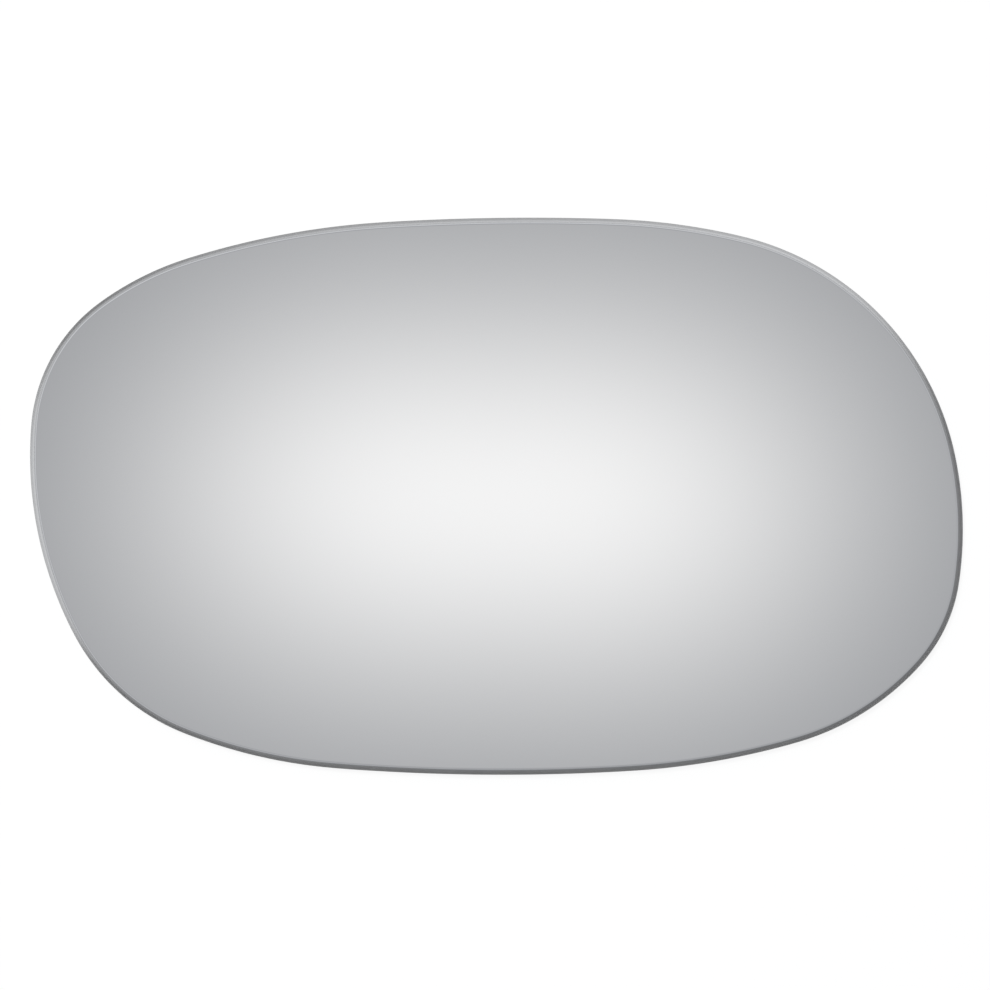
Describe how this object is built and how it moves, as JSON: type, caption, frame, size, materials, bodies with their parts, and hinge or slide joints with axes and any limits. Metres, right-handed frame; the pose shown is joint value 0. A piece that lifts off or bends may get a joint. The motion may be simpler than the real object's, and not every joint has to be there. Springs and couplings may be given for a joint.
{
  "type": "car door mirror glass",
  "caption": "Flat door mirror glass with an asymmetric rounded outline, a ground and bevelled edge, and a flat back for bonding to a mirror's backing plate.",
  "frame": {"origin": "centre of the outline's box, on the back face", "axes": "+X across the width to the viewer's right, +Y up the height as mounted on the car, +Z out of the mirror face"},
  "size_m": [0.178, 0.1062, 0.0022],
  "materials": {
    "mirror_glass": "silvered front face, satin ground edge, grey painted back"
  },
  "bodies": {
    "root": {"mirror_glass": "mirror_glass"}
  },
  "joints": []
}
